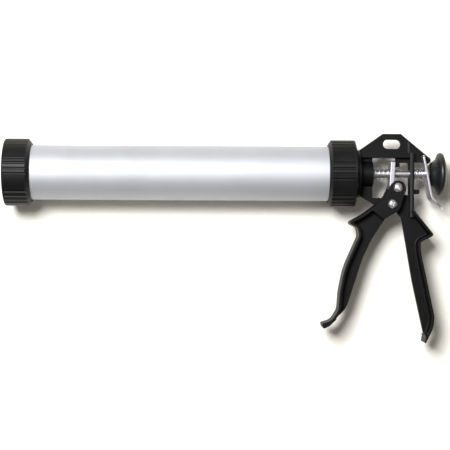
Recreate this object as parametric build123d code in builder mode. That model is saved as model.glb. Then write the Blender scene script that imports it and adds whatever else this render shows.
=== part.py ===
from build123d import *
import math
import os

# Caulking gun for 600 ml foil packs, lying on its side.
# Millimetres. +X runs along the barrel axis from the nozzle opening to the knob, +Y towards the hang
# plate, +Z up out of the frame's middle plane. The origin is the centre of the nozzle opening, in the
# front face of the front cap.

# ---- driving dimensions ----
ROD_R = 4.0                 # plunger rod
ROD_FRONT_X = 7.5
ROD_REAR_X = 425.0
ROD_CLEARANCE = 0.5         # radial, where plates and wall let the rod pass
TUBE_R = 26.5               # barrel tube, outside
TUBE_BORE_R = 25.0
TUBE_FRONT_X = 6.9
TUBE_REAR_X = 331.0

CAP_R = 32.6                # both screw caps
CAP_BORE_R = 26.9
CAP_EDGE_R = 1.5
FRONT_WALL = 5.0            # end wall of the front cap
FRONT_BODY_X = 22.4         # end of its full diameter
FRONT_END_X = 25.9
NOZZLE_R = 16.0             # nozzle opening

REAR_START_X = 312.8
REAR_FULL_X = 315.7
REAR_BODY_X = 338.7
REAR_FACE_X = 341.1
REAR_WALL_X = 335.0         # inner face of the rear cap's end wall
REAR_CAVITY_R = 21.0

GROOVE_R = 1.45             # grip grooves, 6 groups of 4
GROOVE_PITCH = 9.4          # degrees
GROOVE_GROUPS = 6
GROOVES = 4

THREAD_LENGTH = 16.0
THREAD_ROOT_R = 25.9
THREAD_PITCH = 4.0
THREAD_TURNS = 4
THREAD_STEPS = (1.0, 1.9, 2.7, 3.6)     # foot, crest, crest and foot within one pitch
THREAD_RUNOUT = 0.6

SEAL_GAP = 0.2              # front seal, behind the front wall
SEAL_REAR_X = 6.6
SEAL_R = 26.2
SEAL_BORE_R = 20.0

HUB_R = 11.0                # frame hub that the rear cap swivels on
HUB_THREAD_R = 10.6
HUB_SHOULDER_X = 334.7
HUB_FRONT_X = 326.4
FLANGE_X = 341.4
FLANGE_REAR_X = 343.6
FLANGE_R = 23.0
BOSS_R = 12.5
BUSH_R = 6.5
WASHER_R = 19.0
WASHER_THICK = 1.5
HUB_NUT_R = 16.5
HUB_NUT_FRONT_X = 327.4
RUNNING_GAP = 0.07          # radial, between a running pair

WINDOW_FRONT_X = 356.5      # window that holds the drive plate and its spring
WALL_FRONT_X = 392.5        # rear wall of the window
WALL_REAR_X = 396.4
WINDOW_TOP_Y = 15.7
WINDOW_BOTTOM_Y = -23.4
WALL_TOP_Y = 20.5
WEB = 5.0                   # middle web of both castings
WALL_WIDTH = 16.6           # window walls and spine
RIM_WIDTH = 25.0            # flanged edges of handle and trigger
RIM = 2.6                   # their thickness
EDGE_R = 0.8                # rounding along the outer edges of both castings
HANDLE_ROOT_R = 2.0         # where web and flange meet
TRIGGER_ROOT_R = 1.2
ROOT_TOP_Y = -45.0          # roots are rounded below this height

PIVOT = (374.7, -29.3)      # trigger pivot
PUSH = (380.0, -13.4)       # push roller
PIVOT_BOSS_R = 8.5
CHEEK_GAP = 17.1            # inside the trigger's fork
CHEEK_CLEAR_R = 9.9
POST_R = 3.5
SCREW_R = 2.0
ROLLER_R = 2.9
POST_HEAD_R = 5.0
POST_HEAD = 2.0
PIVOT_SCREW_LENGTH = 12.0
PUSH_SCREW_LENGTH = 31.0
SCREW_HEAD_R = 4.35
RECESS = 4.6                # cross recess, tip to tip
RECESS_WIDTH = 1.0
RECESS_TURN = 25            # degrees
PUSH_NUT = 3.2              # height
PUSH_NUT_FLATS = 7.0

DRIVE_X = 375.4             # drive plate, at the rod
DRIVE_THICK = 4.4
DRIVE_TILT = 3.5            # degrees, foot forward
DRIVE_WIDTH = 16.0
PLATE_EDGE_R = 0.5          # tumbled edges of both steel plates

RELEASE_THICK = 2.2
RELEASE_WIDTH = 24.0
RELEASE_HOLE_R = 4.9

SPRING_R = 5.2              # both springs, to the middle of the wire
WIRE_R = 0.65

KNOB_FRONT_X = 411.4
KNOB_REAR_X = 429.6
KNOB_R = 20.9
INSERT_R = 6.0              # brass insert in the knob
PISTON_NUT_FLATS = 13.0
PISTON_SEAL_R = 24.6

os.makedirs("parts", exist_ok=True)


def save(piece, name):
    """Label one finished piece and write it to its own file."""
    piece.label = name
    export_step(piece, f"parts/{name}.step")


def groove_angles(centre):
    """Angles about the barrel axis, from +Y towards +Z, of all grip grooves round one cap."""
    angles = []
    for group in range(GROOVE_GROUPS):
        for groove in range(GROOVES):
            offset = (groove - (GROOVES - 1) / 2) * GROOVE_PITCH
            angles.append(centre + group * 360 / GROOVE_GROUPS + offset)
    return angles


def inset(corners, distance):
    """Open chain of corners moved sideways to its right, with radii that keep the arcs concentric."""
    moved = []
    for before, corner, after in zip(corners, corners[1:], corners[2:]):
        into = Vector(corner[0] - before[0], corner[1] - before[1]).normalized()
        out = Vector(after[0] - corner[0], after[1] - corner[1]).normalized()
        turn = into.X * out.Y - into.Y * out.X
        along = math.tan(math.atan2(turn, into.dot(out)) / 2) * distance
        radius = corner[2] + (distance if turn > 0 else -distance)
        moved.append((corner[0] + into.Y * distance + into.X * along,
                      corner[1] - into.X * distance + into.Y * along, max(radius, 0)))
    return moved


def groove_cutter(centre, start_x, end_x):
    """All grip grooves of one cap, as round bars to be cut from it."""
    spots = []
    for angle in groove_angles(centre):
        turn = math.radians(angle)
        spots.append(((CAP_R + 0.45) * math.cos(turn), (CAP_R + 0.45) * math.sin(turn)))
    with BuildPart() as bars:
        with BuildSketch(Plane.YZ.offset(start_x)):
            with Locations(*spots):
                Circle(GROOVE_R)
        extrude(amount=end_x - start_x)
    return bars.part


def outline(*corners):
    """Closed face of straight runs joined by arcs. Each corner is (x, y, radius)."""
    points = [(x, y) for x, y, radius in corners]
    radii = [radius for x, y, radius in corners]
    with BuildSketch() as shape:
        with BuildLine():
            FilletPolyline(*points, radius=radii, close=True)
        make_face()
    return shape.sketch


def outer_edges(body):
    """Edges round both outer faces of a casting."""
    return body.edges().filter_by(
        lambda e: e.bounding_box().size.Z < 0.01 and abs(abs(e.center().Z) - RIM_WIDTH / 2) < 0.01)


def root_edges(body, face):
    """Edges where the middle web meets the flange, in the long run below the pivot."""
    border = face.wire()
    floor = body.edges().filter_by(lambda e: abs(abs(e.center().Z) - WEB / 2) < 0.01)
    return floor.filter_by(
        lambda e: e.center().Y < ROOT_TOP_Y and border.distance_to(e @ 0.5) > WEB / 2 + 0.3)


def hex_nut(front_x, length, across_flats, bore_r):
    """Hexagon nut about the barrel axis."""
    with BuildPart() as nut:
        with BuildSketch(Plane.YZ.offset(front_x)):
            RegularPolygon(across_flats / 2, 6, major_radius=False)
            Circle(bore_r, mode=Mode.SUBTRACT)
        extrude(amount=length)
    return nut.part


def ring(start_x, end_x, outer_r, inner_r):
    """Plain ring about the barrel axis."""
    with BuildPart() as body:
        with BuildSketch(Plane.YZ.offset(start_x)):
            Circle(outer_r)
            Circle(inner_r, mode=Mode.SUBTRACT)
        extrude(amount=end_x - start_x)
    return body.part


def coil(start_x, end_x, turns):
    """Open compression spring about the barrel axis."""
    with BuildPart() as spring:
        with BuildLine():
            Helix((end_x - start_x) / turns, end_x - start_x, SPRING_R,
                  center=(start_x, 0, 0), direction=(1, 0, 0))
        helix_start = spring.pending_edges[0]
        with BuildSketch(Plane(origin=helix_start @ 0, z_dir=helix_start % 0)):
            Circle(WIRE_R)
        sweep(is_frenet=True)
    return spring.part


front_grooves = groove_cutter(80.6, 1.6, FRONT_END_X)
rear_grooves = groove_cutter(87.8, REAR_START_X, 337.2)

# ---- front cap: screw collar with an end wall and the nozzle opening ----
with BuildPart() as front_cap:
    with BuildSketch(Plane.XY):
        with BuildLine():
            Polyline((0, NOZZLE_R), (0, CAP_R), (FRONT_BODY_X, CAP_R), (FRONT_END_X, 28.1),
                     (FRONT_END_X, CAP_BORE_R), (FRONT_WALL, CAP_BORE_R), (FRONT_WALL, NOZZLE_R),
                     close=True)
        make_face()
    revolve(axis=Axis.X)
    fillet(front_cap.edges().filter_by(GeomType.CIRCLE).sort_by(Axis.X)[:2].sort_by(SortBy.RADIUS)[-1],
           CAP_EDGE_R)
    add(front_grooves, mode=Mode.SUBTRACT)
save(front_cap.part, "front_cap")

# ---- seal that a nozzle's flange is pressed against ----
save(ring(FRONT_WALL + SEAL_GAP, SEAL_REAR_X, SEAL_R, SEAL_BORE_R), "front_seal")

# ---- barrel tube: threaded at both ends ----
with BuildPart() as barrel_tube:
    with BuildSketch(Plane.XY):
        with BuildLine():
            Polyline((TUBE_FRONT_X, TUBE_BORE_R), (TUBE_FRONT_X, THREAD_ROOT_R),
                     (TUBE_FRONT_X + THREAD_LENGTH, THREAD_ROOT_R),
                     (TUBE_FRONT_X + THREAD_LENGTH + THREAD_RUNOUT, TUBE_R),
                     (TUBE_REAR_X - THREAD_LENGTH - THREAD_RUNOUT, TUBE_R),
                     (TUBE_REAR_X - THREAD_LENGTH, THREAD_ROOT_R),
                     (TUBE_REAR_X, THREAD_ROOT_R), (TUBE_REAR_X, TUBE_BORE_R), close=True)
        make_face()
        for first_x in (TUBE_FRONT_X, TUBE_REAR_X - THREAD_LENGTH):
            for turn in range(THREAD_TURNS):
                steps = [first_x + turn * THREAD_PITCH + step for step in THREAD_STEPS]
                with BuildLine():
                    Polyline((steps[0], THREAD_ROOT_R - 0.1), (steps[1], TUBE_R), (steps[2], TUBE_R),
                             (steps[3], THREAD_ROOT_R - 0.1), close=True)
                make_face()
    revolve(axis=Axis.X)
save(barrel_tube.part, "barrel_tube")

# ---- rear cap: holds the barrel and swivels on the frame hub ----
with BuildPart() as rear_cap:
    with BuildSketch(Plane.XY):
        with BuildLine():
            Polyline((REAR_START_X, TUBE_R), (REAR_START_X, 28.1), (REAR_FULL_X, CAP_R),
                     (REAR_BODY_X, CAP_R), (REAR_FACE_X, 24.0), (REAR_FACE_X, HUB_R + RUNNING_GAP),
                     (REAR_WALL_X, HUB_R + RUNNING_GAP), (REAR_WALL_X, REAR_CAVITY_R),
                     (TUBE_REAR_X, REAR_CAVITY_R), (TUBE_REAR_X, TUBE_R), close=True)
        make_face()
    revolve(axis=Axis.X)
    add(rear_grooves, mode=Mode.SUBTRACT)
save(rear_cap.part, "rear_cap")

# ---- outlines of the rear handle, from the spine round its rear edge and up its front edge ----
handle_rear = [(396.4, -36, 0), (415.8, -59.4, 2.2), (402.2, -66.2, 4.5), (402.9, -77, 60),
               (416.1, -138, 16), (415.4, -148.5, 30), (407.2, -165.6, 0.7)]
handle_outline = outline((385.1, -43, 0), (392.5, -36, 0), *handle_rear, (406.8, -162.5, 1.6),
                         (407.6, -158.2, 0), (395.4, -103.5, 350))
handle_pocket = outline((380, -30, 0), (390.0, -32.3, 0), *inset(handle_rear, RIM),
                        (408.9, -156, 0), (402, -156, 0), (380, -80, 0))

# ---- frame: one casting with hub, hang plate, window, spine and rear handle ----
with BuildPart() as frame:
    # hub, flange and boss about the barrel axis
    with BuildSketch(Plane.XY):
        with BuildLine():
            Polyline((HUB_FRONT_X, BUSH_R), (HUB_FRONT_X, HUB_THREAD_R), (HUB_SHOULDER_X, HUB_THREAD_R),
                     (HUB_SHOULDER_X, HUB_R), (FLANGE_X, HUB_R), (FLANGE_X, FLANGE_R),
                     (FLANGE_REAR_X, FLANGE_R), (FLANGE_REAR_X, BOSS_R), (WINDOW_FRONT_X, BOSS_R),
                     (WINDOW_FRONT_X, BUSH_R), close=True)
        make_face()
    revolve(axis=Axis.X)
    # rear handle at full rim width, hollowed to its web from both sides
    with BuildSketch(Plane.XY):
        add(handle_outline)
    extrude(amount=RIM_WIDTH / 2, both=True)
    with BuildSketch(Plane.XY.offset(WEB / 2)):
        add(handle_pocket)
    extrude(amount=RIM_WIDTH, mode=Mode.SUBTRACT)
    with BuildSketch(Plane.XY.offset(-WEB / 2)):
        add(handle_pocket)
    extrude(amount=-RIM_WIDTH, mode=Mode.SUBTRACT)
    # middle web: hang plate, arm to the pivot and the part over the handle
    with BuildSketch(Plane.XY.offset(-WEB / 2)):
        with BuildLine():
            Polyline((342.5, 22.6), (343.6, 22.9), (366.5, 39), (384, 39), (412.0, 15.8), (410.0, 10.2),
                     (408.5, 10.2), (408.5, 11.4), (WALL_REAR_X, 11.4), (WALL_REAR_X, -36), (398.5, -50),
                     (386.4, -50), (385.1, -43), (380.2, -37.2), (374.7, -38.1), (369.2, -35.8),
                     (366.0, -31.4), (359, -30.1), (342.5, -20.5), close=True)
        make_face()
        with Locations((410.1, 13.4)):
            Circle(3.2)
        with Locations((375.3, 28.9)):
            SlotOverall(17.1, 9.0, mode=Mode.SUBTRACT)
    extrude(amount=WEB)
    # window walls and spine
    with BuildSketch(Plane.XY):
        with BuildLine():
            Polyline((FLANGE_REAR_X, WINDOW_TOP_Y), (FLANGE_REAR_X, WALL_TOP_Y), (WALL_REAR_X, WALL_TOP_Y),
                     (WALL_REAR_X, -42), (WALL_FRONT_X, -42), (WALL_FRONT_X, WINDOW_TOP_Y), close=True)
        make_face()
    extrude(amount=WALL_WIDTH / 2, both=True)
    fillet(root_edges(frame, handle_outline), HANDLE_ROOT_R)
    fillet(outer_edges(frame), EDGE_R)
    # raised rib on the hang plate and stop lug behind the spine
    with BuildSketch(Plane.XY):
        with BuildLine():
            Polyline((390.4, WALL_TOP_Y - 1), (390.4, 31.2), (392.4, 29.5), (392.4, WALL_TOP_Y - 1),
                     close=True)
        make_face()
        with Locations((398.6, -17.3)):
            RectangleRounded(7.2, 4.4, 1.4)
    extrude(amount=4.5, both=True)
    # pivot boss
    with BuildSketch(Plane.XY):
        with Locations(PIVOT):
            Circle(PIVOT_BOSS_R)
    extrude(amount=WALL_WIDTH / 2 - 0.1, both=True)
    # opening of the window, with the stop finger left standing
    with BuildSketch(Plane.XY.offset(-RIM_WIDTH)):
        with BuildLine():
            Polyline((WINDOW_FRONT_X, WINDOW_BOTTOM_Y), (WINDOW_FRONT_X, WINDOW_TOP_Y),
                     (379.2, WINDOW_TOP_Y), (379.2, 6.8), (383.0, 6.8), (383.0, 10.9),
                     (WALL_FRONT_X, 10.9), (WALL_FRONT_X, -20.5), (384.2, -20.5), (380, WINDOW_BOTTOM_Y),
                     close=True)
        make_face()
        with Locations(PIVOT):
            Circle(10.6, mode=Mode.SUBTRACT)
    extrude(amount=2 * RIM_WIDTH, mode=Mode.SUBTRACT)
    # bores: pivot post, rod through the rear wall
    with Locations(Location((PIVOT[0], PIVOT[1], 0))):
        Hole(POST_R + RUNNING_GAP)
    with BuildSketch(Plane.YZ.offset(WALL_FRONT_X - 1)):
        Circle(ROD_R + ROD_CLEARANCE)
    extrude(amount=WALL_REAR_X - WALL_FRONT_X + 2, mode=Mode.SUBTRACT)
    with BuildSketch(Plane.YZ.offset(HUB_FRONT_X)):
        Circle(BUSH_R)
    extrude(amount=WINDOW_FRONT_X - HUB_FRONT_X, mode=Mode.SUBTRACT)
save(frame.part, "frame")

# ---- bush, washer and nut on the hub ----
save(ring(HUB_FRONT_X, WINDOW_FRONT_X, BUSH_R, ROD_R + RUNNING_GAP), "rod_bush")
save(ring(HUB_SHOULDER_X - WASHER_THICK, HUB_SHOULDER_X, WASHER_R, HUB_THREAD_R), "swivel_washer")
with BuildPart() as hub_nut:
    with BuildSketch(Plane.YZ.offset(HUB_NUT_FRONT_X)):
        Circle(HUB_NUT_R)
        Circle(HUB_THREAD_R, mode=Mode.SUBTRACT)
        # slots for a pin wrench
        with PolarLocations(HUB_NUT_R, 4):
            Rectangle(4, 4, mode=Mode.SUBTRACT)
    extrude(amount=HUB_SHOULDER_X - WASHER_THICK - HUB_NUT_FRONT_X)
save(hub_nut.part, "hub_nut")

# ---- plunger: rod, piston stack and knob ----
with BuildPart() as plunger_rod:
    with BuildSketch(Plane.YZ.offset(ROD_FRONT_X)):
        Circle(ROD_R)
    extrude(amount=ROD_REAR_X - ROD_FRONT_X)
    chamfer(plunger_rod.edges().filter_by(GeomType.CIRCLE), 0.6)
save(plunger_rod.part, "plunger_rod")

save(hex_nut(9.0, 5.0, PISTON_NUT_FLATS, ROD_R), "piston_front_nut")
with BuildPart() as piston_head:
    with BuildSketch(Plane.XY):
        with BuildLine():
            Polyline((14.0, ROD_R), (14.0, 20.5), (15.2, 22.0), (17.0, 22.0), (17.0, ROD_R), close=True)
        make_face()
    revolve(axis=Axis.X)
save(piston_head.part, "piston_head")
with BuildPart() as piston_seal:
    with BuildSketch(Plane.XY):
        with BuildLine():
            Polyline((17.0, ROD_R), (17.0, 23.2), (18.6, PISTON_SEAL_R), (29.0, PISTON_SEAL_R),
                     (29.0, 21.5), (21.5, 20.5), (21.5, ROD_R), close=True)
        make_face()
    revolve(axis=Axis.X)
save(piston_seal.part, "piston_seal")
save(ring(21.5, 24.0, 18.0, ROD_R), "piston_back_plate")
save(ring(24.0, 25.6, 7.0, ROD_R), "piston_lock_washer")
save(hex_nut(25.6, 6.5, PISTON_NUT_FLATS, ROD_R), "piston_rear_nut")

with BuildPart() as knob:
    with BuildSketch(Plane.XY):
        with BuildLine():
            Line((KNOB_FRONT_X, INSERT_R), (KNOB_FRONT_X, 7.6))
            Spline((KNOB_FRONT_X, 7.6), (413.4, 11.0), (417.6, 14.2), (419.8, 18.6),
                   tangents=((0.25, 1), (0.35, 1)))
            ThreePointArc((419.8, 18.6), (422.6, KNOB_R), (425.4, 18.8))
            Spline((425.4, 18.8), (428.4, 9.5), (KNOB_REAR_X, 0), tangents=((0.35, -1), (0, -1)))
            Line((KNOB_REAR_X, 0), (425.6, 0))
            Line((425.6, 0), (425.6, INSERT_R))
            Line((425.6, INSERT_R), (KNOB_FRONT_X, INSERT_R))
        make_face()
    revolve(axis=Axis.X)
save(knob.part, "knob")
save(ring(KNOB_FRONT_X, ROD_REAR_X, INSERT_R, ROD_R), "knob_insert")

# ---- drive plate: leans on the roller, grips the rod ----
drive_plane = Plane(origin=(DRIVE_X, 0, 0), x_dir=(0, 0, 1),
                    z_dir=(math.cos(math.radians(DRIVE_TILT)), -math.sin(math.radians(DRIVE_TILT)), 0))
with BuildPart() as drive_plate:
    with BuildSketch(drive_plane.offset(-DRIVE_THICK / 2)):
        with Locations((0, 1.4)):
            RectangleRounded(DRIVE_WIDTH, 28.0, 2.0)
        Circle(ROD_R + ROD_CLEARANCE, mode=Mode.SUBTRACT)
    extrude(amount=DRIVE_THICK)
    front, back = drive_plate.faces().sort_by(SortBy.AREA)[-2:]
    fillet(front.outer_wire().edges() + back.outer_wire().edges(), PLATE_EDGE_R)
save(drive_plate.part, "drive_plate")
save(coil(WINDOW_FRONT_X + WIRE_R + 0.1, 372.2, 3.25), "drive_spring")

# ---- release plate: forked over the hang plate, with a bent thumb tab ----
with BuildPart() as release_plate:
    with BuildSketch(Plane.XY):
        with BuildLine():
            FilletPolyline((405.0, 18.0), (413.2, -23.2), (425.0, -34.6), radius=6)
        trace(line_width=RELEASE_THICK)
    extrude(amount=RELEASE_WIDTH / 2, both=True)
    corners = release_plate.edges().filter_by(lambda e: abs(e.length - RELEASE_THICK) < 0.05)
    fillet(corners.sort_by(Axis.Y)[-2:], 3.0)
    corners = release_plate.edges().filter_by(lambda e: abs(e.length - RELEASE_THICK) < 0.05)
    fillet(corners.sort_by(Axis.Y)[:2], RELEASE_WIDTH / 2 - 0.6)
    sides = release_plate.edges().filter_by(lambda e: abs(e.center().Z) > RELEASE_WIDTH / 3)
    fillet(sides.filter_by(lambda e: abs(e.length - RELEASE_THICK) > 0.05), PLATE_EDGE_R)
    release_plane = Plane(origin=(408.58, 0, 0), x_dir=(0, 0, 1), z_dir=(41.2, 8.2, 0))
    with BuildSketch(release_plane.offset(-5)):
        Circle(RELEASE_HOLE_R)
        with Locations((0, -16.0)):
            Rectangle(6.4, 9.8)
    extrude(amount=10, mode=Mode.SUBTRACT)
save(release_plate.part, "release_plate")
save(coil(WALL_REAR_X + WIRE_R + 0.1, 405.3, 1.75), "release_spring")

# ---- outlines of the trigger: cheeks of the fork, and the grip from them round its front edge ----
cheek_low = (353.6, -34.5, 0)
cheek_high = (369.0, -23.2, 0)
with BuildSketch() as cheek_shape:
    with Locations(PIVOT):
        Circle(9.0)
    with Locations((380.2, -14.5)):
        Circle(7.8)
    make_hull()
    add(outline(cheek_high, cheek_low, (366.4, -44.6, 3), (380.4, -36.2, 0), (*PIVOT, 0)))
cheek_outline = cheek_shape.sketch
grip_front = [cheek_high, cheek_low, (346.5, -39.6, 30), (332.0, -47.8, 2.0), (341.4, -52.4, 5),
              (342.8, -60.2, 8), (328.6, -92, 90), (324.0, -116, 60), (323.0, -132, 14), (316.6, -142.4, 10),
              (307.0, -145.2, 1.7)]
grip_outline = outline((372, -33, 0), *grip_front[1:], (308.4, -150.6, 1.5), (314.5, -147.9, 12),
                       (331.5, -131, 25), (347.2, -82, 60), (355.7, -64.0, 30), (372.0, -39.0, 0))
grip_pocket = outline(*inset(grip_front, -RIM)[:-1], (321.0, -140.6, 0), (324, -146, 0), (342, -126, 0),
                      (356, -92, 0), (368, -66, 0), (385, -40, 0), (372, -33, 0))

# ---- trigger: fork over the pivot boss, web with a flanged front edge ----
with BuildPart() as trigger:
    with BuildSketch(Plane.XY):
        add(grip_outline)
    extrude(amount=RIM_WIDTH / 2, both=True)
    with BuildSketch(Plane.XY.offset(WEB / 2)):
        add(grip_pocket)
    extrude(amount=RIM_WIDTH, mode=Mode.SUBTRACT)
    with BuildSketch(Plane.XY.offset(-WEB / 2)):
        add(grip_pocket)
    extrude(amount=-RIM_WIDTH, mode=Mode.SUBTRACT)
    fillet(root_edges(trigger, grip_outline), TRIGGER_ROOT_R)
    with BuildSketch(Plane.XY):
        add(cheek_outline)
    extrude(amount=RIM_WIDTH / 2, both=True)
    fillet(outer_edges(trigger), EDGE_R)
    # slot of the fork
    with BuildSketch(Plane.XY):
        with Locations(PIVOT):
            Circle(CHEEK_CLEAR_R)
        with BuildLine():
            Polyline(PIVOT, (337, -40.8), (337, 10), (400, 10), (400, -60), (377.6, -60), close=True)
        make_face()
    extrude(amount=CHEEK_GAP / 2, both=True, mode=Mode.SUBTRACT)
    with Locations(Location((PIVOT[0], PIVOT[1], 0))):
        Hole(POST_R)
    with Locations(Location((PUSH[0], PUSH[1], 0))):
        Hole(SCREW_R)
save(trigger.part, "trigger")


# ---- screws, post, roller and nut across the fork ----
def pan_screw(spot, length):
    """Cross-recess pan head screw pointing down -Z, seated on the fork's upper face."""
    seat_z = RIM_WIDTH / 2
    with BuildPart() as screw:
        with BuildSketch(Plane(origin=(spot[0], spot[1], 0), x_dir=(1, 0, 0), z_dir=(0, -1, 0))):
            with BuildLine():
                Polyline((0, seat_z - length), (SCREW_R, seat_z - length), (SCREW_R, seat_z),
                         (SCREW_HEAD_R, seat_z), (SCREW_HEAD_R, seat_z + 1.2))
                ThreePointArc((SCREW_HEAD_R, seat_z + 1.2), (3.0, seat_z + 2.6), (0, seat_z + 3.1))
                Line((0, seat_z + 3.1), (0, seat_z - length))
            make_face()
        revolve(axis=Axis((spot[0], spot[1], 0), (0, 0, 1)))
        with BuildSketch(Plane.XY.offset(seat_z + 1.1)):
            with Locations(spot):
                Rectangle(RECESS, RECESS_WIDTH, rotation=RECESS_TURN)
                Rectangle(RECESS_WIDTH, RECESS, rotation=RECESS_TURN)
        extrude(amount=5, mode=Mode.SUBTRACT)
    return screw.part


save(pan_screw(PIVOT, PIVOT_SCREW_LENGTH), "pivot_screw")
save(pan_screw(PUSH, PUSH_SCREW_LENGTH), "push_screw")

with BuildPart() as pivot_post:
    with BuildSketch(Plane.XY.offset(-RIM_WIDTH / 2 - POST_HEAD)):
        with Locations(PIVOT):
            Circle(POST_HEAD_R)
    extrude(amount=POST_HEAD)
    with BuildSketch(Plane.XY.offset(-RIM_WIDTH / 2)):
        with Locations(PIVOT):
            Circle(POST_R)
    extrude(amount=RIM_WIDTH)
    with BuildSketch(Plane.XY.offset(RIM_WIDTH / 2 - PIVOT_SCREW_LENGTH)):
        with Locations(PIVOT):
            Circle(SCREW_R)
    extrude(amount=20, mode=Mode.SUBTRACT)
save(pivot_post.part, "pivot_post")

with BuildPart() as push_roller:
    with BuildSketch(Plane.XY):
        with Locations(PUSH):
            Circle(ROLLER_R)
            Circle(SCREW_R + RUNNING_GAP, mode=Mode.SUBTRACT)
    extrude(amount=CHEEK_GAP / 2 - 0.2, both=True)
save(push_roller.part, "push_roller")

with BuildPart() as push_nut:
    with BuildSketch(Plane.XY.offset(-RIM_WIDTH / 2 - PUSH_NUT)):
        with Locations(PUSH):
            RegularPolygon(PUSH_NUT_FLATS / 2, 6, major_radius=False)
            Circle(SCREW_R, mode=Mode.SUBTRACT)
    extrude(amount=PUSH_NUT)
save(push_nut.part, "push_nut")
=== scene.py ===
import math

import bpy
import numpy as np
from bpy.props import FloatProperty, FloatVectorProperty, PointerProperty
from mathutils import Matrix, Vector


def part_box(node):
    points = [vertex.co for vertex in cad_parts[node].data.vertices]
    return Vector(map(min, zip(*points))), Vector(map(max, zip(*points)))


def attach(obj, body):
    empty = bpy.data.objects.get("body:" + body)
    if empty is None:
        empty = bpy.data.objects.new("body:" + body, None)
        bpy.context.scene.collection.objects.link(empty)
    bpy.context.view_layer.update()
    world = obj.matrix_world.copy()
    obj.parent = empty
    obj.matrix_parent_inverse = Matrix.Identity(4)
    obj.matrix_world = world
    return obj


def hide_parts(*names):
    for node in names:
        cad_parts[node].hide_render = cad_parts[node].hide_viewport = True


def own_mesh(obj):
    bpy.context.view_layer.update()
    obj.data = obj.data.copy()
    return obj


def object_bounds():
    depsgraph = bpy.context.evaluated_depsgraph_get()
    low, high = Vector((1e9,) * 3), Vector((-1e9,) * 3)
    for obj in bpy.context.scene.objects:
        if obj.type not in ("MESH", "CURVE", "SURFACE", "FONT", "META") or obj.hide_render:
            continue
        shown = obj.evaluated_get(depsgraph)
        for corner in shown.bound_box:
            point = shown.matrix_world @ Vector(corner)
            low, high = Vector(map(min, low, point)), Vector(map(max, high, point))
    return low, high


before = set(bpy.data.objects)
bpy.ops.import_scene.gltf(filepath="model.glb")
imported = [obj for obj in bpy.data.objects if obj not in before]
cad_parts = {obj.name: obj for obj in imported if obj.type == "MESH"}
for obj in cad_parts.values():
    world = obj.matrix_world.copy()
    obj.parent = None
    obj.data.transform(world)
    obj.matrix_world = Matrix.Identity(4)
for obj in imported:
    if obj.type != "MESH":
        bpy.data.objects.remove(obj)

CAD_BOX = [list(corner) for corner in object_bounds()]

bl_info = {
    "name": "Foil pack caulking gun",
    "version": (1, 0, 0),
    "blender": (4, 5, 0),
    "location": "3D View > Sidebar > Caulking gun",
    "description": "Finishes, springs and studio for a 600 ml foil pack caulking gun",
    "category": "Object",
}

MM = 0.001
FLOOR_Z = CAD_BOX[0][2]
FLOOR_REACH = 6.0                   # half the width of the background paper, metres

SPINE_TOP = (8.3 * MM, 393.5 * MM, 1.0 * MM)    # height, middle x and half width of a strip with a painted highlight
RIB_TOP = (4.5 * MM, 391.4 * MM, 1.1 * MM)
LEVEL_TOLERANCE = 0.1 * MM

DRIVE_KEEP = 0.473                  # share of each spring's length left at the end of its joint's travel
RELEASE_KEEP = 0.79
WIRE_STEPS = 14                     # points round the wire
TURN_STEPS = 48                     # points along one turn

KEY_AIM = (0.21, 0.0, 0.0)
KEY_DIRECTION = (-0.30, 0.31, 1.0)
KEY_DISTANCE = 1.75
KEY_SIZE = 0.6

EYE = (0.1937, -0.0505, 1.2688)
EYE_LEAN = 0.0195                   # distance along x at the middle plane that the view is turned by
EYE_ROLL = 0.25                     # degrees
LENS = 104.25                       # millimetres, on a 36 mm wide sensor


def linear(code):
    """sRGB hex colour as linear red, green, blue and alpha."""
    parts = [int(code[i:i + 2], 16) / 255 for i in (1, 3, 5)]
    return [p / 12.92 if p <= 0.04045 else ((p + 0.055) / 1.055) ** 2.4 for p in parts] + [1.0]


def add_node(tree, kind, inputs=None, links=None, **settings):
    """One node with its settings, the values of its sockets and the links into it."""
    node = tree.nodes.new(kind)
    for name, value in settings.items():
        setattr(node, name, value)
    for socket, value in (inputs or {}).items():
        node.inputs[socket].default_value = value
    for socket, source in (links or {}).items():
        tree.links.new(source, node.inputs[socket])
    return node


def blank(name):
    """New material with only its shader and the object coordinates to work from."""
    material = bpy.data.materials.new(name)
    material.use_nodes = True
    tree = material.node_tree
    shader = tree.nodes["Principled BSDF"]
    coords = add_node(tree, "ShaderNodeTexCoord")
    return material, tree, shader, coords.outputs["Object"]


def stretched(tree, coords, scale):
    """Object coordinates with each axis scaled, for patterns that run along one of them."""
    return add_node(tree, "ShaderNodeMapping", {"Scale": scale}, {"Vector": coords}).outputs["Vector"]


def ramp(tree, fac, low, high, first, second):
    """Colour ramp from first at low to second at high."""
    node = add_node(tree, "ShaderNodeValToRGB", links={"Fac": fac})
    node.color_ramp.elements[0].position = low
    node.color_ramp.elements[1].position = high
    node.color_ramp.elements[0].color = first
    node.color_ramp.elements[1].color = second
    return node.outputs["Color"]


def grey(value):
    """Grey of one linear value."""
    return [value, value, value, 1.0]


def shade(colour, factor):
    """Linear colour of a setting, lightened or darkened by a factor, with alpha."""
    return [min(channel * factor, 1.0) for channel in colour] + [1.0]


def bumped(tree, shader, height, strength, distance):
    """Drives the shader's normal from a height pattern."""
    bump = add_node(tree, "ShaderNodeBump", {"Strength": strength, "Distance": distance}, {"Height": height})
    tree.links.new(bump.outputs["Normal"], shader.inputs["Normal"])


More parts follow.
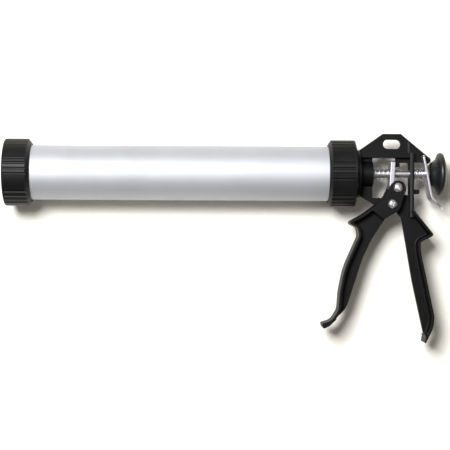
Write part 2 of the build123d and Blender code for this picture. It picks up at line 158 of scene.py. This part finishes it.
def anodised_aluminium(colour):
    """Extruded aluminium tube, etched and clear anodised.

    Etching leaves a satin sheen with a fine grain, and the die leaves faint lines along the tube.
    """
    material, tree, shader, coords = blank("anodised_aluminium_extruded")
    lines = add_node(tree, "ShaderNodeTexNoise", {"Scale": 1.0, "Detail": 4.0, "Roughness": 0.6},
                     {"Vector": stretched(tree, coords, (14, 2200, 2200))})
    grain = add_node(tree, "ShaderNodeTexNoise", {"Scale": 1900.0, "Detail": 2.0}, {"Vector": coords})
    clouds = add_node(tree, "ShaderNodeTexNoise", {"Scale": 26.0, "Detail": 3.0}, {"Vector": coords})
    tint = ramp(tree, clouds.outputs["Fac"], 0.35, 0.7, shade(colour, 1.0), shade(colour, 0.93))
    lined = add_node(tree, "ShaderNodeMix", {0: 0.16}, {6: tint, 7: lines.outputs["Color"]},
                     data_type="RGBA", blend_type="SOFT_LIGHT")
    tree.links.new(lined.outputs[2], shader.inputs["Base Color"])
    sheen = ramp(tree, lines.outputs["Fac"], 0.3, 0.75, grey(0.64), grey(0.70))
    tree.links.new(sheen, shader.inputs["Roughness"])
    shader.inputs["Metallic"].default_value = 0.8
    height = add_node(tree, "ShaderNodeMath", {0: 0.5, 1: 0.5},
                      {0: lines.outputs["Fac"], 1: grain.outputs["Fac"]}, operation="ADD")
    bumped(tree, shader, height.outputs["Value"], 0.10, 0.00004)
    return material


def powder_coat(name, colour, painted_highlight=False):
    """Die-cast aluminium under black satin powder coat.

    The coat flows out to a fine orange peel about 0.9 mm across, over a slightly uneven casting. On the
    frame's raised faces a lighter satin grey is painted in as a highlight.
    """
    material, tree, shader, coords = blank(name)
    peel = add_node(tree, "ShaderNodeTexNoise", {"Scale": 1100.0, "Detail": 1.5}, {"Vector": coords})
    cast = add_node(tree, "ShaderNodeTexNoise", {"Scale": 90.0, "Detail": 2.0}, {"Vector": coords})
    tint = ramp(tree, cast.outputs["Fac"], 0.35, 0.7, shade(colour, 1.0), shade(colour, 1.6))
    sheen = ramp(tree, cast.outputs["Fac"], 0.35, 0.7, grey(0.48), grey(0.55))
    if painted_highlight:
        # Painted highlight: the flat tops of the spine and the rib get a lighter satin grey.
        highlight_mask = raised_faces(tree, coords)
        tint = add_node(tree, "ShaderNodeMix", {7: linear("#323335")}, {0: highlight_mask, 6: tint},
                        data_type="RGBA").outputs[2]
        sheen = add_node(tree, "ShaderNodeMix", {7: grey(0.5)}, {0: highlight_mask, 6: sheen},
                         data_type="RGBA").outputs[2]
    tree.links.new(tint, shader.inputs["Base Color"])
    tree.links.new(sheen, shader.inputs["Roughness"])
    shader.inputs["IOR"].default_value = 1.5
    # Less than the film itself reflects, so that side walls stay black above a white floor.
    shader.inputs["Specular IOR Level"].default_value = 0.15
    height = add_node(tree, "ShaderNodeMath", {1: 0.35}, {0: peel.outputs["Fac"]}, operation="MULTIPLY")
    total = add_node(tree, "ShaderNodeMath", links={0: height.outputs["Value"], 1: cast.outputs["Fac"]},
                     operation="ADD")
    bumped(tree, shader, total.outputs["Value"], 0.16, 0.00012)
    return material


def raised_faces(tree, coords):
    """1 on the flat tops of the frame's spine and of the rib on its hang plate, 0 elsewhere."""
    axes = add_node(tree, "ShaderNodeSeparateXYZ", links={0: coords})
    height = add_node(tree, "ShaderNodeMath", links={0: axes.outputs["Z"]}, operation="ABSOLUTE").outputs[0]
    found = []
    for top, middle_x, half in (SPINE_TOP, RIB_TOP):
        level = add_node(tree, "ShaderNodeMath", {1: top, 2: LEVEL_TOLERANCE}, {0: height},
                         operation="COMPARE")
        strip = add_node(tree, "ShaderNodeMath", {1: middle_x, 2: half}, {0: axes.outputs["X"]},
                         operation="COMPARE")
        found.append(add_node(tree, "ShaderNodeMath", links={0: level.outputs[0], 1: strip.outputs[0]},
                              operation="MULTIPLY").outputs[0])
    return add_node(tree, "ShaderNodeMath", links={0: found[0], 1: found[1]}, operation="MAXIMUM").outputs[0]


def moulded_nylon(colour):
    """Glass-filled nylon, injection moulded in a spark-eroded tool.

    Short fibres near the surface make it greyer and duller than plain nylon, with a fine even grain.
    """
    material, tree, shader, coords = blank("nylon_glass_filled_moulded")
    grain = add_node(tree, "ShaderNodeTexNoise", {"Scale": 2600.0, "Detail": 2.0}, {"Vector": coords})
    flow = add_node(tree, "ShaderNodeTexNoise", {"Scale": 55.0, "Detail": 3.0, "Distortion": 0.6},
                    {"Vector": coords})
    tint = ramp(tree, flow.outputs["Fac"], 0.35, 0.7, shade(colour, 1.0), shade(colour, 1.5))
    tree.links.new(tint, shader.inputs["Base Color"])
    sheen = ramp(tree, flow.outputs["Fac"], 0.3, 0.75, grey(0.44), grey(0.52))
    tree.links.new(sheen, shader.inputs["Roughness"])
    shader.inputs["IOR"].default_value = 1.53
    # Less than the resin itself reflects, for the same reason as on the powder coat.
    shader.inputs["Specular IOR Level"].default_value = 0.2
    bumped(tree, shader, grain.outputs["Fac"], 0.18, 0.00006)
    return material


def moulded_abs():
    """ABS knob from a matt-blasted mould: even black with a soft broad sheen."""
    material, tree, shader, coords = blank("abs_black_moulded")
    grain = add_node(tree, "ShaderNodeTexNoise", {"Scale": 1700.0, "Detail": 2.0}, {"Vector": coords})
    flow = add_node(tree, "ShaderNodeTexNoise", {"Scale": 70.0, "Detail": 2.0}, {"Vector": coords})
    colour = ramp(tree, flow.outputs["Fac"], 0.35, 0.7, linear("#0B0D0F"), linear("#101214"))
    tree.links.new(colour, shader.inputs["Base Color"])
    sheen = ramp(tree, flow.outputs["Fac"], 0.3, 0.75, grey(0.36), grey(0.46))
    tree.links.new(sheen, shader.inputs["Roughness"])
    shader.inputs["IOR"].default_value = 1.54
    bumped(tree, shader, grain.outputs["Fac"], 0.12, 0.00006)
    return material


def zinc_plate(name, bright, dull, rough, lines):
    """Steel, barrel plated with zinc and clear passivated.

    Plating keeps the marks of the steel under it: lines are scales along x, y and z of its drawing or
    rolling marks. Thin passivate gives patches that are a little duller.
    """
    material, tree, shader, coords = blank(name)
    marks = add_node(tree, "ShaderNodeTexNoise", {"Scale": 1.0, "Detail": 3.0, "Roughness": 0.65},
                     {"Vector": stretched(tree, coords, lines)})
    patches = add_node(tree, "ShaderNodeTexNoise", {"Scale": 240.0, "Detail": 3.0}, {"Vector": coords})
    colour = ramp(tree, patches.outputs["Fac"], 0.35, 0.7, linear(bright), linear(dull))
    tree.links.new(colour, shader.inputs["Base Color"])
    mixed = add_node(tree, "ShaderNodeMath", {1: 0.5}, {0: marks.outputs["Fac"]}, operation="MULTIPLY")
    total = add_node(tree, "ShaderNodeMath", {2: 0.5},
                     {0: patches.outputs["Fac"], 1: mixed.outputs["Value"]}, operation="MULTIPLY_ADD")
    sheen = ramp(tree, total.outputs["Value"], 0.5, 0.9, grey(rough * 0.85), grey(rough * 1.2))
    tree.links.new(sheen, shader.inputs["Roughness"])
    shader.inputs["Metallic"].default_value = 1.0
    bumped(tree, shader, marks.outputs["Fac"], 0.12, 0.00003)
    return material


def plain_part(name, light, dark, rough, ior, metallic, grain_scale):
    """Simple moulded or turned part with a fine grain: seal, bush or brass insert."""
    material, tree, shader, coords = blank(name)
    grain = add_node(tree, "ShaderNodeTexNoise", {"Scale": grain_scale, "Detail": 2.0}, {"Vector": coords})
    colour = ramp(tree, grain.outputs["Fac"], 0.3, 0.75, linear(light), linear(dark))
    tree.links.new(colour, shader.inputs["Base Color"])
    sheen = ramp(tree, grain.outputs["Fac"], 0.3, 0.75, grey(rough * 0.9), grey(rough * 1.1))
    tree.links.new(sheen, shader.inputs["Roughness"])
    shader.inputs["Metallic"].default_value = metallic
    shader.inputs["IOR"].default_value = ior
    bumped(tree, shader, grain.outputs["Fac"], 0.1, 0.00005)
    return material


def backdrop_paper(colour):
    """Matt white background paper with a barely visible fibre."""
    material, tree, shader, coords = blank("background_paper_matt")
    fibre = add_node(tree, "ShaderNodeTexNoise", {"Scale": 300.0, "Detail": 2.0}, {"Vector": coords})
    tint = ramp(tree, fibre.outputs["Fac"], 0.3, 0.7, shade(colour, 1.0), shade(colour, 0.98))
    tree.links.new(tint, shader.inputs["Base Color"])
    shader.inputs["Roughness"].default_value = 0.9
    return material


def finish_node(name, material):
    """Gives a CAD node its finish."""
    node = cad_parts[name]
    node.data.materials.clear()
    node.data.materials.append(material)


def tube_mesh(name, points, material):
    """Mesh piece from a grid of points, one row for each ring of a tube, with its columns joined round."""
    rows, columns = points.shape[:2]
    index = np.arange(rows * columns).reshape(rows, columns)
    index = np.hstack([index, index[:, :1]])
    corners = [index[:-1, :-1], index[1:, :-1], index[1:, 1:], index[:-1, 1:]]
    quads = np.stack(corners, axis=-1).reshape(-1, 4)
    mesh = bpy.data.meshes.new(name)
    mesh.from_pydata(points.reshape(-1, 3), [], quads)
    mesh.polygons.foreach_set("use_smooth", np.ones(len(quads), dtype=bool))
    mesh.materials.append(material)
    mesh.update()
    piece = bpy.data.objects.new(name, mesh)
    bpy.context.scene.collection.objects.link(piece)
    return piece


def settings():
    """The scene's caulking gun settings."""
    return bpy.context.scene.caulking_gun


class CaulkingGunSettings(bpy.types.PropertyGroup):
    """Sizes and colours that a user would change."""

    barrel_colour: FloatVectorProperty(
        name="Barrel colour", description="Colour of the anodised tube",
        default=linear("#C9CBD1")[:3], size=3, subtype="COLOR")
    coat_colour: FloatVectorProperty(
        name="Coat colour", description="Colour of the powder coat on the frame and the trigger",
        default=linear("#060607")[:3], size=3, subtype="COLOR")
    cap_colour: FloatVectorProperty(
        name="Cap colour", description="Colour of both screw caps",
        default=linear("#0B0B0C")[:3], size=3, subtype="COLOR")
    spring_wire: FloatProperty(
        name="Spring wire", description="Radius of the wire of both springs",
        default=0.65 * MM, unit="LENGTH", precision=5)
    spring_radius: FloatProperty(
        name="Spring radius", description="Radius of both springs to the middle of the wire",
        default=5.2 * MM, unit="LENGTH", precision=4)
    drive_turns: FloatProperty(
        name="Drive spring turns", description="Open turns of the drive spring", default=3.25)
    release_turns: FloatProperty(
        name="Release spring turns", description="Open turns of the release spring", default=1.75)
    key_power: FloatProperty(
        name="Key light", description="Power of the large soft light", default=46.0, unit="POWER")
    room_colour: FloatVectorProperty(
        name="Room colour", description="Colour of the light that fills the shadows",
        default=linear("#7F7D77")[:3], size=3, subtype="COLOR")
    floor_colour: FloatVectorProperty(
        name="Floor colour", description="Colour of the background paper",
        default=linear("#F8F5EE")[:3], size=3, subtype="COLOR")


class GUN_OT_barrel(bpy.types.Operator):
    """Anodised finish on the barrel tube"""

    bl_idname = "caulking_gun.barrel"
    bl_label = "Barrel"

    def execute(self, context):
        finish_node("barrel_tube", anodised_aluminium(settings().barrel_colour))
        return {"FINISHED"}


class GUN_OT_castings(bpy.types.Operator):
    """Powder coat on the frame and the trigger"""

    bl_idname = "caulking_gun.castings"
    bl_label = "Castings"

    def execute(self, context):
        colour = settings().coat_colour
        # The frame's coat carries a painted highlight on the flat tops of its spine and rib.
        finish_node("frame", powder_coat("powder_coat_black_painted_highlight", colour, painted_highlight=True))
        finish_node("trigger", powder_coat("powder_coat_black_satin", colour))
        return {"FINISHED"}


class GUN_OT_caps(bpy.types.Operator):
    """Moulded screw caps and the front seal"""

    bl_idname = "caulking_gun.caps"
    bl_label = "Caps"

    def execute(self, context):
        nylon = moulded_nylon(settings().cap_colour)
        for name in ("front_cap", "rear_cap"):
            finish_node(name, nylon)
        rubber = plain_part("nitrile_rubber_cut", "#1D1C1B", "#161615", 0.7, 1.52, 0.0, 1500)
        finish_node("front_seal", rubber)
        return {"FINISHED"}


class GUN_OT_plunger(bpy.types.Operator):
    """Rod, knob and piston"""

    bl_idname = "caulking_gun.plunger"
    bl_label = "Plunger"

    def execute(self, context):
        drawn = zinc_plate("zinc_on_drawn_steel", "#E4E2EA", "#D2D1D9", 0.34, (20, 2600, 2600))
        turned = zinc_plate("zinc_on_turned_steel", "#D3D5DA", "#BDC0C6", 0.25, (2400, 40, 40))
        finish_node("plunger_rod", drawn)
        for name in ("piston_front_nut", "piston_head", "piston_back_plate", "piston_lock_washer",
                     "piston_rear_nut"):
            finish_node(name, turned)
        finish_node("knob", moulded_abs())
        finish_node("knob_insert", plain_part("brass_turned", "#C9A961", "#B0914E", 0.3, 1.45, 1.0, 1800))
        polyethylene = plain_part("polyethylene_moulded", "#E2E0D8", "#D6D4CB", 0.45, 1.51, 0.0, 900)
        finish_node("piston_seal", polyethylene)
        return {"FINISHED"}


class GUN_OT_plates(bpy.types.Operator):
    """Drive plate, release plate, bush, washer and hub nut"""

    bl_idname = "caulking_gun.plates"
    bl_label = "Plates"

    def execute(self, context):
        ground = zinc_plate("zinc_on_ground_steel_plate", "#DAD8E2", "#C8C6D1", 0.4, (30, 2000, 1800))
        for name in ("drive_plate", "release_plate", "swivel_washer", "hub_nut"):
            finish_node(name, ground)
        finish_node("rod_bush", plain_part("acetal_turned", "#E9E7DF", "#DDDACF", 0.35, 1.48, 0.0, 1200))
        return {"FINISHED"}


class GUN_OT_springs(bpy.types.Operator):
    """Drive and release springs with closed end coils"""

    bl_idname = "caulking_gun.springs"
    bl_label = "Springs"

    def execute(self, context):
        wire = zinc_plate("zinc_on_spring_wire", "#EDEEF0", "#DADCE0", 0.34, (900, 900, 900))
        sizes = settings()
        window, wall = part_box("drive_spring"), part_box("release_spring")
        for name, ends, turns, joint, keep in (
                ("drive_coil", window, sizes.drive_turns, "drive_slide", DRIVE_KEEP),
                ("release_coil", wall, sizes.release_turns, "release_tilt", RELEASE_KEEP)):
            coil = spring_piece(name, ends[0].x, ends[1].x, turns, wire)
            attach(coil, "frame")
            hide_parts(name.replace("coil", "spring"))
            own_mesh(coil)
        return {"FINISHED"}


def spring_piece(name, start_x, end_x, turns, material):
    """Compression spring with one closed coil at each end.

    The wire's middle line turns about the barrel axis at constant radius. Along the axis it climbs one
    wire diameter in each end turn and shares the rest over the open turns, with the two rates blended.
    Round that line the surface is a circle spanned by the outward and the axial direction. Over a
    length of one wire radius at both ends it shrinks to a point, as on a half sphere.
    """
    sizes = settings()
    wire, radius = sizes.spring_wire, sizes.spring_radius
    total = turns + 2
    t = np.linspace(0, total, int(total * TURN_STEPS))
    closed = 2 * wire
    rise = (end_x - start_x) - 2 * wire - 2 * closed
    share = np.clip((t - 1) / turns, 0, 1)
    smooth = share - 0.1 * np.sin(2 * np.pi * share) / (2 * np.pi)
    x = start_x + wire + closed * np.clip(t, 0, 1) + rise * smooth + closed * np.clip(t - turns - 1, 0, 1)
    phi = 2 * np.pi * t
    tip = np.minimum(t, total - t) * 2 * np.pi * radius / wire
    tube = wire * np.sqrt(np.clip(1 - (1 - np.clip(tip, 0, 1)) ** 2, 0, 1))
    u = np.linspace(0, 2 * np.pi, WIRE_STEPS, endpoint=False)
    outward = np.stack([np.zeros_like(phi), np.cos(phi), np.sin(phi)], axis=-1)
    middle = outward * radius
    middle[:, 0] = x
    axial = np.array([1.0, 0.0, 0.0])
    ring = np.cos(u)[None, :, None] * outward[:, None, :] + np.sin(u)[None, :, None] * axial
    points = middle[:, None, :] + ring * tube[:, None, None]
    return tube_mesh(name, points, material)


class GUN_OT_fixings(bpy.types.Operator):
    """Screws, post, roller and nut across the trigger's fork"""

    bl_idname = "caulking_gun.fixings"
    bl_label = "Fixings"

    def execute(self, context):
        bright = zinc_plate("zinc_on_formed_steel", "#E6E7EA", "#D3D5DA", 0.38, (1500, 1500, 1500))
        for name in ("pivot_screw", "push_screw", "pivot_post", "push_roller", "push_nut"):
            finish_node(name, bright)
        return {"FINISHED"}


class GUN_OT_stage(bpy.types.Operator):
    """Pale floor, soft studio light and camera"""

    bl_idname = "caulking_gun.stage"
    bl_label = "Stage"

    def execute(self, context):
        sizes = settings()
        corners = FLOOR_REACH * np.array([[-1, -1], [1, -1], [1, 1], [-1, 1]])
        mesh = bpy.data.meshes.new("floor")
        mesh.from_pydata(np.column_stack([corners, np.full(4, FLOOR_Z)]), [], [[0, 1, 2, 3]])
        mesh.materials.append(backdrop_paper(sizes.floor_colour))
        floor = bpy.data.objects.new("floor", mesh)
        context.scene.collection.objects.link(floor)
        add_softbox("key_light", Vector(KEY_AIM), Vector(KEY_DIRECTION), sizes.key_power)
        world = bpy.data.worlds.new("studio")
        world.use_nodes = True
        shade = world.node_tree.nodes["Background"]
        shade.inputs["Color"].default_value = (*sizes.room_colour, 1.0)
        shade.inputs["Strength"].default_value = 1.0
        context.scene.world = world
        context.scene.view_settings.view_transform = "Standard"
        add_camera(context)
        return {"FINISHED"}


def add_softbox(name, aim, direction, power):
    """Square white area light at a distance from the point that it faces."""
    light = bpy.data.lights.new(name, "AREA")
    light.shape = "SQUARE"
    light.size = KEY_SIZE
    light.energy = power
    lamp = bpy.data.objects.new(name, light)
    lamp.location = aim + direction.normalized() * KEY_DISTANCE
    lamp.rotation_euler = (-direction).to_track_quat("-Z", "Y").to_euler()
    bpy.context.scene.collection.objects.link(lamp)


def add_camera(context):
    """Camera straight above the barrel's second half, turned a little to take in the whole gun."""
    camera = bpy.data.cameras.new("camera")
    camera.sensor_width = 36.0
    camera.lens = LENS
    eye = bpy.data.objects.new("camera", camera)
    eye.location = EYE
    eye.rotation_euler = (0.0, -math.atan2(EYE_LEAN, eye.location.z), math.radians(EYE_ROLL))
    context.scene.collection.objects.link(eye)
    context.scene.camera = eye


class GUN_PT_sidebar(bpy.types.Panel):
    """Settings and one button for each group of pieces"""

    bl_label = "Caulking gun"
    bl_idname = "GUN_PT_sidebar"
    bl_space_type = "VIEW_3D"
    bl_region_type = "UI"
    bl_category = "Caulking gun"

    def draw(self, context):
        for prop in CaulkingGunSettings.__annotations__:
            self.layout.prop(settings(), prop)
        for operator in OPERATORS:
            self.layout.operator(operator.bl_idname)


OPERATORS = (GUN_OT_barrel, GUN_OT_castings, GUN_OT_caps, GUN_OT_plunger, GUN_OT_plates, GUN_OT_springs,
             GUN_OT_fixings, GUN_OT_stage)
CLASSES = (CaulkingGunSettings, *OPERATORS, GUN_PT_sidebar)


def register():
    """Registers the classes and hangs the settings on the scene."""
    for cls in CLASSES:
        bpy.utils.register_class(cls)
    bpy.types.Scene.caulking_gun = PointerProperty(type=CaulkingGunSettings)


def unregister():
    """Removes the settings and the classes."""
    del bpy.types.Scene.caulking_gun
    for cls in reversed(CLASSES):
        bpy.utils.unregister_class(cls)


def main():
    """Builds everything."""
    register()
    for operator in OPERATORS:
        group, name = operator.bl_idname.split(".")
        getattr(getattr(bpy.ops, group), name)()


if __name__ == "__main__":
    main()
